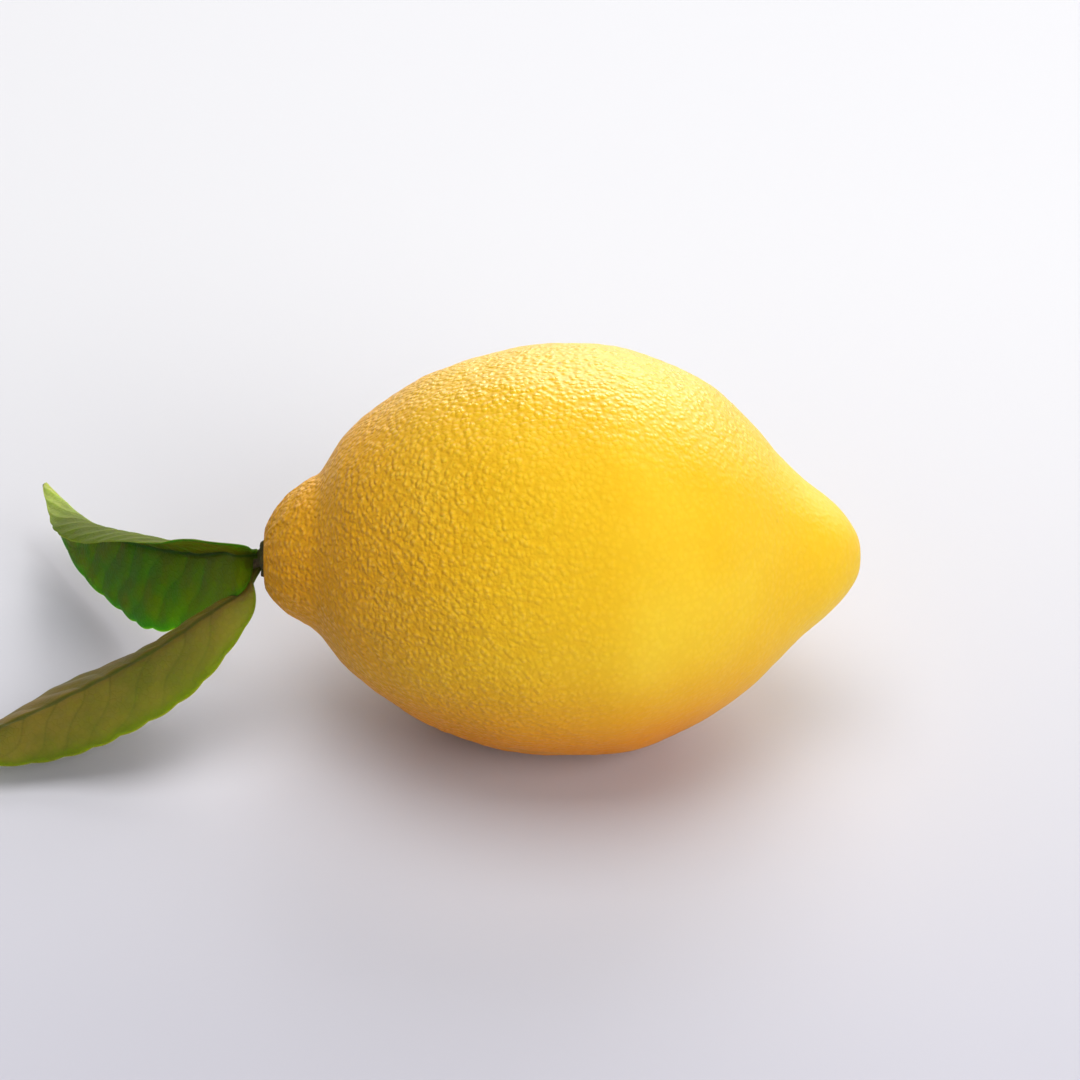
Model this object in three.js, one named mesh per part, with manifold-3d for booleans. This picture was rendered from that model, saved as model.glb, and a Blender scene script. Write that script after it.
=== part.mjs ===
// A lemon as picked, lying on its side, with its stem button and two leaves.
// Millimetres, +Z up. The surface it rests on is z = 0, and the origin lies on the
// flat spot under the middle of the fruit's length. +X points to the nipple end.

import * as THREE from 'three';
import { mergeVertices } from 'three/addons/utils/BufferGeometryUtils.js';
import Module from 'manifold-3d';

const wasm = await Module();
wasm.setup();

// Fruit
const AXIS_HEIGHT = 28.5;      // of the fruit's long axis above the surface
const AROUND = 52;             // faces round the fruit
const ALONG = 46;              // faces from end to end
const NIPPLE_DROOP = 1.2;      // how far the nipple hangs under the axis
const NIPPLE_FROM = 20;
const NIPPLE_TO = 31;
const NECK_DROOP = 1.65;       // how far the stem end hangs under the axis
const NECK_FROM = 28;
const NECK_END = 42.5;
const CREASE_PLACE = -33.8;    // the fold between the neck and the body
const CREASE_DEPTH = 1.0;
const CREASE_WIDTH = 1.7;
const CREASE_SIDE = new THREE.Vector2(0.588, 0.809);   // the fold is deepest at the upper back
const LOBES = [                // the faint segments that swell through the rind
  { count: 3, height: 0.28, turn: 0.7 },
  { count: 5, height: 0.2, turn: 2.4 },
];
const WIDEST = 29.2;

// Half outline of the fruit, as place along the axis and radius there
const OUTLINE = [
  [-42.5, 0], [-42.4, 2.4], [-41.9, 4.4], [-40.6, 6.5], [-38.8, 8.5], [-36.6, 10.0], [-34.6, 11.6],
  [-32.6, 14.0], [-30, 16.9], [-26, 20.2], [-20, 24.1], [-13, 27.0], [-5, 28.9], [3, WIDEST],
  [9, 28.7], [15, 26.6], [21, 23.5], [27, 18.7], [31, 14.4], [34.2, 11.2], [37.5, 8.5],
  [39.9, 6.2], [41.6, 3.8], [42.3, 2.0], [42.5, 0],
];

// Stem: a lobed button in a shallow seat, and a short woody stub
const GAP = 0.2;               // between pieces that touch
const SEAT_RADIUS = 3.1;
const SEAT_FLOOR = -41.5;
const BUTTON_RADIUS = 2.45;
const BUTTON_LOBE = 0.35;
const BUTTON_LOBES = 5;
const BUTTON_THICK = 1.1;
const STUB_LENGTH = 2.6;
const STUB_RADIUS = 1.35;
const STUB_END_RADIUS = 1.15;
const STUB_LEAN = THREE.MathUtils.degToRad(14);   // downwards, from the fruit's axis

// Leaves, each with its stalk: one blade folded along its rib
const RIB_STEPS = 52;
const HALF_STEPS = 5;          // faces from the rib to an edge
const BLADE_THICK = 0.6;
const STALK_SHARE = 0.035;     // the bare stalk's share of the leaf's length
const STALK_HALF_WIDTH = 0.8;
const RIB_SWELL = 0.42;        // added to half the thickness on the rib
const RIB_HALF_WIDTH = 0.9;
const WIDEST_PLACE = 0.85;     // under 1 the blade is widest nearer to its base
const FULLNESS = 0.7;          // under 1 the blade is rounder than a sine arch
const TEETH = 12;              // shallow round teeth along each edge
const TOOTH_DEPTH = 0.035;     // as a share of the half width

const UPPER_LEAF = {
  rib: [
    [-43.3, -0.7, 28.6], [-45.4, -0.5, 28.3], [-47.5, 1.6, 26.9], [-51.5, 6.2, 23.2], [-62.6, 19.0, 15.9],
    [-71.0, 31.5, 11.0], [-78.0, 43.5, 9.0],
  ],
  nearSide: [0, -0.588, -0.809],
  halfWidth: 12.4,
  farShare: [0.9, 0.85, 0.5],  // the far half's width over the near one's, at base, middle and tip
  fold: [112, 134, 100],       // angle between the halves, likewise, in degrees
  farCurl: [10, 85, 60],       // how far the far half rolls over, likewise
  nearCurl: -14,
  wave: 0.5,
  waves: 2.6,
  color: 0x3f6414,
};
const LOWER_LEAF = {
  rib: [
    [-43.7, -1.0, 24.9], [-45.3, -2.5, 22.7], [-49.0, -4.3, 20.9], [-57.9, -7.4, 15.8], [-71.8, -11.2, 9.6],
    [-82.0, -14.6, 6.6], [-90.0, -17.0, 5.2],
  ],
  nearSide: [0, -0.9, -0.43],
  halfWidth: 9.6,
  farShare: [0.35, 0.85, 0.9],
  fold: [214, 213, 226],
  farCurl: [-20, -24, -20],
  nearCurl: -18,
  wave: 0.55,
  waves: 2.2,
  color: 0x69692a,
};

const SKIN = { color: 0xf2c31e, roughness: 0.45, metalness: 0 };
const BARK = { color: 0x6b5a2a, roughness: 0.75, metalness: 0 };
const LEAF_GLOSS = { roughness: 0.4, metalness: 0 };

// Turns a closed three.js geometry into a solid that can be joined and cut
function toSolid(geometry) {
  const bare = geometry.clone();
  bare.deleteAttribute('normal');
  bare.deleteAttribute('uv');
  const merged = mergeVertices(bare, 1e-5);
  return new wasm.Manifold(new wasm.Mesh({
    numProp: 3,
    vertProperties: new Float32Array(merged.attributes.position.array),
    triVerts: new Uint32Array(merged.index.array),
  }));
}

function toGeometry(solid) {
  const mesh = solid.getMesh();
  const geometry = new THREE.BufferGeometry();
  geometry.setAttribute('position', new THREE.BufferAttribute(mesh.vertProperties, 3));
  geometry.setIndex(new THREE.BufferAttribute(mesh.triVerts, 1));
  geometry.computeVertexNormals();
  return geometry;
}

function namedMesh(name, geometry, look) {
  const mesh = new THREE.Mesh(geometry, new THREE.MeshStandardMaterial(look));
  mesh.name = name;
  return mesh;
}

// Height of the fruit's centre line over its axis at a place along it: the nipple
// sinks by a smooth step, and the neck by a square law
function centreLine(along) {
  const nipple = THREE.MathUtils.smoothstep(along, NIPPLE_FROM, NIPPLE_TO);
  const neck = Math.max(0, (-along - NECK_FROM) / (NECK_END - NECK_FROM));
  return -NIPPLE_DROOP * nipple - NECK_DROOP * neck * neck;
}

// Radius added to the turned outline: low lobes that fade towards the ends, and the
// fold behind the neck, deepest on one side
function relief(along, across, up) {
  const radius = Math.hypot(across, up);
  if (radius < 1e-6) {
    return 0;
  }
  const angle = Math.atan2(up, across);
  const fade = radius / WIDEST;
  const swell = LOBES.reduce((sum, lobe) => sum + lobe.height * Math.cos(lobe.count * angle + lobe.turn), 0);
  const side = (across * CREASE_SIDE.x + up * CREASE_SIDE.y) / radius;
  const reach = (along - CREASE_PLACE) / CREASE_WIDTH;
  const crease = CREASE_DEPTH * Math.exp(-reach * reach) * Math.max(0, side);
  return fade * swell - crease;
}

// The outline turned about the long axis, then given its relief and its droop
function makeSkin() {
  const outline = new THREE.SplineCurve(OUTLINE.map(([along, radius]) => new THREE.Vector2(radius, along)));
  const points = outline.getSpacedPoints(ALONG);
  points[0].x = 0;
  points[ALONG].x = 0;
  const geometry = new THREE.LatheGeometry(points, AROUND);
  geometry.rotateZ(-Math.PI / 2);
  const position = geometry.attributes.position;
  for (let i = 0; i < position.count; i += 1) {
    const along = position.getX(i);
    const across = position.getY(i);
    const up = position.getZ(i);
    const radius = Math.hypot(across, up);
    const scale = radius > 0 ? 1 + relief(along, across, up) / radius : 1;
    position.setY(i, across * scale);
    position.setZ(i, up * scale + AXIS_HEIGHT + centreLine(along));
  }
  return geometry;
}

function neckEnd() {
  return new THREE.Vector3(SEAT_FLOOR, 0, AXIS_HEIGHT + centreLine(SEAT_FLOOR));
}

// The skin, cut level where it rests, with the seat for the button cut into the neck
function makeFruit() {
  const below = new THREE.BoxGeometry(120, 80, 20);
  below.translate(0, 0, -10);
  const seat = new THREE.CylinderGeometry(SEAT_RADIUS, SEAT_RADIUS, 4, 24);
  seat.rotateZ(Math.PI / 2);
  seat.translate(neckEnd().x - 2, 0, neckEnd().z);
  const solid = toSolid(makeSkin()).subtract(toSolid(below)).subtract(toSolid(seat));
  return namedMesh('fruit', toGeometry(solid), SKIN);
}

// A low domed button with round lobes
function makeButton() {
  const profile = [[0, 0], [1, 0], [1, 0.45], [0.8, 0.9], [0.5, 1], [0, 1]];
  const points = profile.map(([out, up]) => new THREE.Vector2(out, up * BUTTON_THICK));
  const geometry = new THREE.LatheGeometry(points, 40);
  const position = geometry.attributes.position;
  for (let i = 0; i < position.count; i += 1) {
    const x = position.getX(i);
    const z = position.getZ(i);
    const radius = BUTTON_RADIUS + BUTTON_LOBE * Math.cos(BUTTON_LOBES * Math.atan2(z, x));
    position.setX(i, x * radius);
    position.setZ(i, z * radius);
  }
  return geometry;
}

function makeStub() {
  const stub = new THREE.CylinderGeometry(STUB_END_RADIUS, STUB_RADIUS, STUB_LENGTH, 20, 3);
  stub.translate(0, STUB_LENGTH / 2, 0);
  return stub;
}

// Button and stub joined: both are made upwards along Y and turned to point to -X
function makeStem() {
  const button = makeButton();
  button.rotateZ(Math.PI / 2);
  const stub = makeStub();
  stub.translate(0, BUTTON_THICK * 0.5, 0);
  stub.rotateZ(Math.PI / 2);
  stub.rotateY(-STUB_LEAN);
  const solid = toSolid(button).add(toSolid(stub));
  const mesh = namedMesh('stem', toGeometry(solid), BARK);
  mesh.position.copy(neckEnd()).add(new THREE.Vector3(-GAP, 0, 0));
  return mesh;
}

// A value that runs through three stations at the base, middle and tip of a leaf
function between(stations, share) {
  const [base, middle, tip] = stations;
  if (share < 0.5) {
    return THREE.MathUtils.lerp(base, middle, THREE.MathUtils.smoothstep(share, 0, 0.5));
  }
  return THREE.MathUtils.lerp(middle, tip, THREE.MathUtils.smoothstep(share, 0.5, 1));
}

// Width of one half of a leaf: the stalk's own, and from the stalk's end a full sine
// arch with shallow round teeth
function halfWidth(leaf, share, side) {
  const blade = Math.max(0, (share - STALK_SHARE) / (1 - STALK_SHARE));
  const arch = Math.max(0, Math.sin(Math.PI * Math.pow(blade, WIDEST_PLACE)));
  const tooth = 1 - TOOTH_DEPTH * (1 - Math.abs(Math.sin(Math.PI * TEETH * blade)));
  const stalk = STALK_HALF_WIDTH * (1 - 0.6 * share);
  const widest = leaf.halfWidth * (side > 0 ? 1 : between(leaf.farShare, share));
  return Math.hypot(stalk, widest * Math.pow(arch, FULLNESS) * tooth);
}

// One point of a leaf. Each half leaves the rib at its own angle and bends along an
// arc, so its chord is the arc's length times sin(bend / 2) / (bend / 2). The waves
// grow towards the edge. side is +1 over the near half and -1 over the far half.
function leafPoint(leaf, frame, share, side, reach) {
  const width = halfWidth(leaf, share, side);
  const fold = THREE.MathUtils.degToRad(side > 0 ? 0 : between(leaf.fold, share));
  const curl = THREE.MathUtils.degToRad(side > 0 ? leaf.nearCurl : -between(leaf.farCurl, share));
  const bend = curl * reach;
  const chord = width * reach * (Math.abs(bend) > 1e-6 ? Math.sin(bend / 2) / (bend / 2) : 1);
  const heading = fold + bend / 2;
  const facing = fold + bend;
  const along = new THREE.Vector2(Math.cos(heading) * chord, Math.sin(heading) * chord);
  const normal = new THREE.Vector2(-side * Math.sin(facing), side * Math.cos(facing));
  if (reach === 0) {
    const farFold = THREE.MathUtils.degToRad(between(leaf.fold, share));
    normal.set(Math.sin(farFold), 1 - Math.cos(farFold)).normalize();
  }
  const wave = leaf.wave * Math.sin(2 * Math.PI * leaf.waves * share + side) * reach * reach
    * Math.sin(Math.PI * share);
  along.addScaledVector(normal, wave);
  const fromRib = width * reach / RIB_HALF_WIDTH;
  const thick = BLADE_THICK / 2 + RIB_SWELL * (1 - 0.75 * share) * Math.exp(-fromRib * fromRib);
  return [1, -1].map((face) => frame.origin.clone()
    .addScaledVector(frame.across, along.x + face * thick * normal.x)
    .addScaledVector(frame.out, along.y + face * thick * normal.y));
}

// A closed blade: a grid of points on its upper face, the same grid on its lower
// face, both split into triangles alike, and a strip round the rim
function makeLeaf(name, leaf) {
  const curve = new THREE.CatmullRomCurve3(leaf.rib.map((point) => new THREE.Vector3(...point)), false, 'centripetal');
  const columns = 2 * HALF_STEPS + 1;
  const points = [];
  for (let row = 0; row <= RIB_STEPS; row += 1) {
    const share = row / RIB_STEPS;
    const tangent = curve.getTangentAt(share);
    const across = new THREE.Vector3(...leaf.nearSide);
    across.addScaledVector(tangent, -across.dot(tangent)).normalize();
    const out = new THREE.Vector3().crossVectors(tangent, across);
    const frame = { origin: curve.getPointAt(share), across, out };
    for (let column = 0; column < columns; column += 1) {
      const step = column - HALF_STEPS;
      const [upper, lower] = leafPoint(leaf, frame, share, step >= 0 ? 1 : -1, Math.abs(step) / HALF_STEPS);
      points.push(...upper.toArray(), ...lower.toArray());
    }
  }
  const at = (row, column, face) => 2 * (row * columns + column) + face;
  const index = [];
  const quad = (a, b, c, d) => index.push(a, b, c, a, c, d);
  for (let row = 0; row < RIB_STEPS; row += 1) {
    for (let column = 0; column < columns - 1; column += 1) {
      const corners = [[row, column], [row + 1, column], [row + 1, column + 1], [row, column + 1]];
      const [a, b, c, d] = corners.map(([r, k]) => at(r, k, 0));
      const [e, f, g, h] = corners.map(([r, k]) => at(r, k, 1));
      quad(a, b, c, d);
      index.push(e, g, f, e, h, g);
    }
    quad(at(row, 0, 0), at(row, 0, 1), at(row + 1, 0, 1), at(row + 1, 0, 0));
    const edge = columns - 1;
    quad(at(row, edge, 0), at(row + 1, edge, 0), at(row + 1, edge, 1), at(row, edge, 1));
  }
  for (let column = 0; column < columns - 1; column += 1) {
    quad(at(0, column, 0), at(0, column + 1, 0), at(0, column + 1, 1), at(0, column, 1));
    const end = RIB_STEPS;
    quad(at(end, column, 0), at(end, column, 1), at(end, column + 1, 1), at(end, column + 1, 0));
  }
  const geometry = new THREE.BufferGeometry();
  geometry.setAttribute('position', new THREE.Float32BufferAttribute(points, 3));
  geometry.setIndex(index);
  geometry.computeVertexNormals();
  return namedMesh(name, geometry, { ...LEAF_GLOSS, color: leaf.color });
}

const lemon = new THREE.Group();
lemon.add(makeFruit());
lemon.add(makeStem());
lemon.add(makeLeaf('leaf_upper', UPPER_LEAF));
lemon.add(makeLeaf('leaf_lower', LOWER_LEAF));

export default lemon;
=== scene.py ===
"""A lemon as picked, lying on its side, with its stem button and two leaves.

The rind, the stem and the leaves are surfaces worked out as functions of two
parameters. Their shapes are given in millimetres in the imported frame, with +X
towards the nipple and z = 0 on the surface. Materials, lamps and meshes are in
metres.
"""

import math

import bmesh
import bpy
import numpy as np
from mathutils import Matrix, Vector


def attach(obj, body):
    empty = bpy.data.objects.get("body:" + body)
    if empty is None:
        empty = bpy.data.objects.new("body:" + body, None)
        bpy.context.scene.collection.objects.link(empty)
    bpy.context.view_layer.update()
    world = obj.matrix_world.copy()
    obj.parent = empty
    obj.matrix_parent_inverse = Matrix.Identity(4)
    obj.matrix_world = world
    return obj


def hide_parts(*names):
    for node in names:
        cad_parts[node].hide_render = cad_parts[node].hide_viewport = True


bl_info = {
    "name": "Lemon",
    "version": (1, 0, 0),
    "blender": (4, 5, 0),
    "location": "3D View > Sidebar > Lemon",
    "description": "Builds a lemon with its stem and leaves round a fixed frame",
    "category": "Add Mesh",
}

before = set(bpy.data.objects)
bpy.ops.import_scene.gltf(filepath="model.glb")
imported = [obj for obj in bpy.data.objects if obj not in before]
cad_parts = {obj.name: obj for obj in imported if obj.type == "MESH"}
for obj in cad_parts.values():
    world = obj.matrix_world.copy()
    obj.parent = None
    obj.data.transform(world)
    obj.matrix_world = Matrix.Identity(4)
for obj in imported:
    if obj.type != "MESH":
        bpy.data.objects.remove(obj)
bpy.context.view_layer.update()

MM = 0.001

# How a curve through points weighs its spans' lengths, and its steps before it is
# spaced evenly
UNIFORM, CENTRIPETAL = 0, 0.5
CURVE_STEPS = 4000

# The fruit's outline, as place along its axis and radius there
OUTLINE = np.array([
    (-42.5, 0), (-42.4, 2.4), (-41.9, 4.4), (-40.6, 6.5), (-38.8, 8.5), (-36.6, 10.0), (-34.6, 11.6),
    (-32.6, 14.0), (-30, 16.9), (-26, 20.2), (-20, 24.1), (-13, 27.0), (-5, 28.9), (3, 29.2),
    (9, 28.7), (15, 26.6), (21, 23.5), (27, 18.7), (31, 14.4), (34.2, 11.2), (37.5, 8.5),
    (39.9, 6.2), (41.6, 3.8), (42.3, 2.0), (42.5, 0),
])
WIDEST = OUTLINE[:, 1].max()
AXIS_HEIGHT = 28.5
NIPPLE_DROOP, NIPPLE_FROM, NIPPLE_TO = 1.2, 20.0, 31.0
NECK_DROOP, NECK_FROM, NECK_END = 1.65, 28.0, 42.5
CREASE_PLACE, CREASE_DEPTH, CREASE_WIDTH = -33.8, 1.0, 1.7
UPPER_BACK = np.array((0.588, 0.809))          # as y and z: the side where the neck's fold is deepest
FOLD_ALL_ROUND = 0.3                           # its depth on the other side, as a share
LOBES = ((3, 0.28, 0.7), (5, 0.2, 2.4))        # how many round the fruit, height, turn
SEAT_RADIUS, SEAT_FLOOR, SEAT_DISH = 3.1, -41.5, 0.5

# Furrows round the stem's seat: pairs of them, their turn, and the places along the
# axis and the radii between which they come and go
FURROW_PAIRS, FURROW_TURN = 9, 0.6
FURROWS_END, FURROWS_BEGIN = (-40.5, -35.5), (2.4, 5.0)

# The modelled grain: its bumps' and swells' size, the radii over which both come in,
# and the places where it is strong, along the axis and towards the upper back
GRAIN_SIZE, SWELL_SIZE = 0.42, 2.6
GRAIN_RADII = (2.5, 8)
GRAIN_STEM_HALF, GRAIN_BACK, GRAIN_NIPPLE = (-14, 16), (8, 22), (26, 38)
LEAST_GRAIN = 0.25

# The stem button's and stub's sizes
GAP = 0.2
BUTTON_RADIUS, BUTTON_LOBE, BUTTON_LOBES, BUTTON_THICK = 2.45, 0.35, 5, 1.1
BUTTON_RIPPLE, BUTTON_RIPPLES, BUTTON_LIFT = 0.1, 11, 0.16
STUB_LENGTH = 2.6
STUB_LEAN = math.radians(14)
BARK_RIDGES = ((6, 0.3), (11, 1.9), (17, 4.0))     # how many round the stub, turn
BARK_RIDGE, KNOT_HEIGHT, KNOT_SIZE = 0.05, 0.035, 0.16

# The stem's profile, as a share of the button's radius and height over its back, and
# the height at which the cut end's edge begins
STEM_PROFILE = np.array([
    (0.3, 0), (0.75, 0), (0.98, 0.12), (1.0, 0.38), (0.93, 0.62), (0.8, 0.8), (0.66, 0.86),
    (0.58, 0.95), (0.53, 1.12), (0.5, 1.5), (0.49, 2.1), (0.47, 2.75), (0.45, 3.02), (0.38, 3.12),
    (0.2, 3.08),
])
STEM_TOP = STEM_PROFILE[:, 1].max()
CUT_BEGINS = 2.95

# Where one part of the stem gives way to the next: heights over the button's back,
# the bark's radii, and shares of the button's radius
BUTTON_ENDS, RIM_LIFTS, LEAN_GROWS, SECTION_TURNS = (0.9, 1.5), (0.3, 0.7), (0.4, 1.2), (0.6, 1.4)
BARK_RADII = (0.6, 1.1)
RIM_SHARE, CUT_SHARE = (0.55, 0.95), (0.34, 0.46)
RIPPLE_TURN = 1.0
STEM_SEED_STEP = 5                      # keeps the stem's random draws apart from the rind's

# Each leaf: the rib's points, of which the first lies in the stub, the way its near
# half falls, and at base, middle and tip the far half's share of the width, the
# angle between halves and the roll
UPPER_LEAF = {
    "rib": [
        (-43.0, -0.6, 28.3), (-45.4, -0.5, 28.05), (-47.5, 1.6, 26.9), (-51.5, 6.2, 23.2),
        (-62.6, 19.0, 15.9), (-71.0, 31.5, 11.0), (-78.0, 43.5, 9.0),
    ],
    "near_side": (0, -0.588, -0.809),
    "half_width": 12.4,
    "far_share": (0.9, 0.85, 0.5),
    "fold": (112, 134, 100),
    "far_curl": (10, 85, 60),
    "near_curl": -14,
    "stalk_share": 0.012,
    "base_fullness": 0.42,
    "wave": 0.5,
    "waves": 2.6,
}
LOWER_LEAF = {
    "rib": [
        (-42.9, -0.3, 26.1), (-43.7, -1.0, 24.9), (-45.3, -2.5, 22.7), (-49.0, -4.3, 20.9),
        (-57.9, -7.4, 15.8), (-71.8, -11.2, 9.6), (-82.0, -14.6, 6.6), (-90.0, -17.0, 5.2),
    ],
    "near_side": (0, -0.9, -0.43),
    "half_width": 9.6,
    "far_share": (0.35, 0.85, 0.9),
    "fold": (214, 213, 226),
    "far_curl": (-20, -24, -20),
    "near_curl": -18,
    "stalk_share": 0.048,
    "base_fullness": 0.7,
    "wave": 0.55,
    "waves": 2.2,
}
LEAF_ROWS, LEAF_HALF_COLUMNS = 300, 70
MARGIN_CROWDING = 0.3                   # how much closer the grid's columns lie by the margins
STALK_HALF_WIDTH, STALK_TAPER = 0.8, 0.75
WIDEST_PLACE, FULLNESS, BASE_REACH = 0.85, 0.7, 0.25
TEETH, TOOTH_DEPTH = 12, 0.035
BLADE_EDGE_THICK, BLADE_THICK = 0.3, 0.45
RIB_SWELL, RIB_HALF_WIDTH, RIB_TAPER = 0.5, 0.7, 0.8
GROOVE_HALF_WIDTH, RIB_MARK_HALF_WIDTH = 0.3, 0.45

# Of the rib's swell, the share that shows on the upper face by the stalk and beyond,
# and where along the leaf it sinks, the groove begins and the stalk's colour ends
RIB_ABOVE_AT_STALK, RIB_ABOVE = 0.45, 0.08
RIB_SINKS, GROOVE_BEGINS, STALK_ENDS = (0.03, 0.1), (0.05, 0.12), (0.01, 0.06)

# Side veins: their lean towards the tip by reach and by its square, their wander as
# height and waves by share, reach and half, their width by the rib and its growth,
# how much they fade, and where they begin at the rib, end at the margin and start
# along the leaf
VEIN_LEAN = (0.115, 0.035)
VEIN_WANDER = ((0.22, 9.1, 0, 2.3), (0.12, 23, 5, 0))
VEIN_WIDTH, VEIN_FADE = (0.055, 0.05), 0.45
VEINS_FROM_RIB, VEINS_TO_MARGIN, VEINS_FROM_BASE = (0.0, 0.06), (0.86, 0.99), (0.05, 0.14)
FAR_HALF_STEP = 0.5                     # the far half's veins stand between the near half's
VEINS_BELOW = 1.6                       # how much more they stand out below

# Where the rind's looks change, in metres on its own axes, each from none to full:
# the pebbles on the stem half and over the upper back, the painted shade and warm
# bounce light on the underside and on the neck end, and the scar
PEBBLES_X = (0.016, -0.030)
PEBBLES_BACK, PEBBLES_BACK_X = (0.006, 0.023), (0.041, 0.027)
SHADE_BELOW_X, SHADE_BELOW_Y, SHADE_BELOW_Z = (0.040, 0.014), (0.014, -0.010), (0.032, 0.008)
SHADE_NECK_X = (-0.004, -0.036)
SCAR_X, SCAR_RADIUS = (0.0395, 0.0410), (0.0019, 0.0012)

# Faint rubs on the rind: middle, half lengths and strength
RUBS = (
    ((-0.0045, -0.0215, 0.0085), (0.0052, 0.006, 0.0012), 0.55),
    ((-0.0250, -0.0190, 0.0290), (0.0042, 0.006, 0.00035), 0.5),
    ((0.0180, -0.0160, 0.0110), (0.0006, 0.004, 0.0006), 0.6),
)

# Sizes of the patterns in the materials, in metres
BELT_SIZE, PATCH_SIZE, DENT_SIZE, SKIN_GRAIN_SIZE, WAX_SIZE = 0.026, 0.007, 0.0022, 0.00022, 0.004
SPECK_SPACING, SPECK_RAGGED, SCAR_RAGGED, RUB_GRAIN_SIZE = 0.0062, 0.0008, 0.0009, 0.0011
BLOTCH_SIZE, LEAF_GRAIN_SIZE, NET_SIZE = 0.0065, 0.0012, 0.0009
STREAK_SIZE, MOSS_SIZE, GRIT_SIZE = 0.0007, 0.0011, 0.0003
NOISE_ROUGHNESS = 0.55

# The photograph's view: millimetres and degrees round the fruit's middle
VIEW_ELEVATION = math.radians(36)
VIEW_DISTANCE = 680.0
VIEW_LENS = 160.0
SENSOR = 36.0
VIEW_OFFSET = (2.97, -1.27)     # the fruit's middle from the picture's, right and up

# Soft lights: place and size in metres, watts, and whether they light matt surfaces
# and show in glossy ones
LAMPS = (
    ("window_low", (0.28, 1.2, 0.42), (0.9, 0.35), 6.4, True, True),
    ("window_high", (0.2, 0.8, 0.75), (0.6, 0.4), 2.8, True, True),
    ("glint", (0.45, 0.8, 0.70), (1.4, 0.45), 11.0, False, True),
    ("back_wall", (0.5, 1.8, 0.50), (2.6, 1.0), 21.0, False, True),
    ("ceiling", (0.0, 0.0, 1.0), (0.8, 0.8), 6.2, True, False),
    ("right_wall", (0.5, -0.6, 0.45), (0.6, 0.6), 4.7, True, False),
)
SKY_COLOUR = (0.93, 0.95, 1.0, 1)
FLOOR_REACH = 3.0
# Painted light on the floor: darker in front and lighter behind, as the light from behind falls off
FLOOR_FALLOFF_Y = (-0.15, 0.14)    # from the near tint to the far one
FLOOR_GRAIN_SIZE, FLOOR_RELIEF, FLOOR_PATCH_SIZE = 0.003, 0.00002, 0.02


def smoothstep(low, high, value):
    """3t² - 2t³, where t runs from 0 at low to 1 at high."""
    t = np.clip((value - low) / (high - low), 0, 1)
    return t * t * (3 - 2 * t)


def hermite(p1, p2, m1, m2, t):
    """The cubic from p1 to p2 with slopes m1 and m2, at t from 0 to 1."""
    return (
        (2 * t**3 - 3 * t**2 + 1) * p1 + (t**3 - 2 * t**2 + t) * m1
        + (3 * t**2 - 2 * t**3) * p2 + (t**3 - t**2) * m2
    )


def through(points, count, power):
    """count places evenly spaced along the Catmull-Rom curve through points. Each
    span's cubic has slopes from its neighbours, weighted by the spans' lengths to
    power."""
    points = np.asarray(points, float)
    ends = np.vstack([2 * points[0] - points[1], points, 2 * points[-1] - points[-2]])
    dense = np.linspace(0, len(points) - 1, CURVE_STEPS)
    span = np.minimum(dense.astype(int), len(points) - 2)
    t = (dense - span)[:, None]
    p0, p1, p2, p3 = (ends[span + k] for k in range(4))
    d0, d1, d2 = (
        np.linalg.norm(b - a, axis=1, keepdims=True) ** power for a, b in ((p0, p1), (p1, p2), (p2, p3))
    )
    m1 = ((p1 - p0) / d0 - (p2 - p0) / (d0 + d1) + (p2 - p1) / d1) * d1
    m2 = ((p2 - p1) / d1 - (p3 - p1) / (d1 + d2) + (p3 - p2) / d2) * d1
    curve = hermite(p1, p2, m1, m2, t)
    length = np.concatenate([[0], np.cumsum(np.linalg.norm(np.diff(curve, axis=0), axis=1))])
    even = np.linspace(0, length[-1], count)
    return np.stack([np.interp(even, length, curve[:, k]) for k in range(curve.shape[1])], axis=1)


def stations(values, share):
    """Three values at the base, middle and tip, joined by two smooth steps."""
    base, middle, tip = values
    return base + (middle - base) * smoothstep(0, 0.5, share) + (tip - middle) * smoothstep(0.5, 1, share)


def ridge(distance, half_width):
    """1 on a line and falling off beside it, as e to the minus square of the distance
    over the half width."""
    return np.exp(-((distance / half_width) ** 2))


def grain(rng, rows, columns, row_step, radius, size):
    """Smooth random bumps of one size over a surface of revolution. White noise is
    blurred by a Gaussian of that size along the rows and, in each row's Fourier
    series, round it, where the size is an angle of size over radius. Each row is
    then brought back to a spread of 1."""
    noise = rng.normal(size=(rows, columns))
    turns = np.fft.rfftfreq(rows, d=row_step)
    along = np.exp(-2 * (math.pi * turns * size) ** 2)
    noise = np.fft.irfft(np.fft.rfft(noise, axis=0) * along[:, None], n=rows, axis=0)
    waves = np.arange(columns // 2 + 1)
    angle = size / np.maximum(radius, size)
    around = np.exp(-0.5 * (waves * angle[:, None]) ** 2)
    noise = np.fft.irfft(np.fft.rfft(noise, axis=1) * around, n=columns, axis=1)
    return noise / np.maximum(noise.std(axis=1, keepdims=True), 1e-6)


def tube_faces(rows, columns):
    """Quads of a grid that closes round its columns, with a fan at each end: the two
    poles are the vertices after the grid's own."""
    index = np.arange(rows * columns).reshape(rows, columns)
    right = np.roll(index, -1, axis=1)
    quads = np.stack([index[:-1], right[:-1], right[1:], index[1:]], axis=-1).reshape(-1, 4)
    start, end = rows * columns, rows * columns + 1
    first = np.stack([np.full(columns, start), right[0], index[0]], axis=-1)
    last = np.stack([np.full(columns, end), index[-1], right[-1]], axis=-1)
    return quads.tolist() + first.tolist() + last.tolist()


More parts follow.
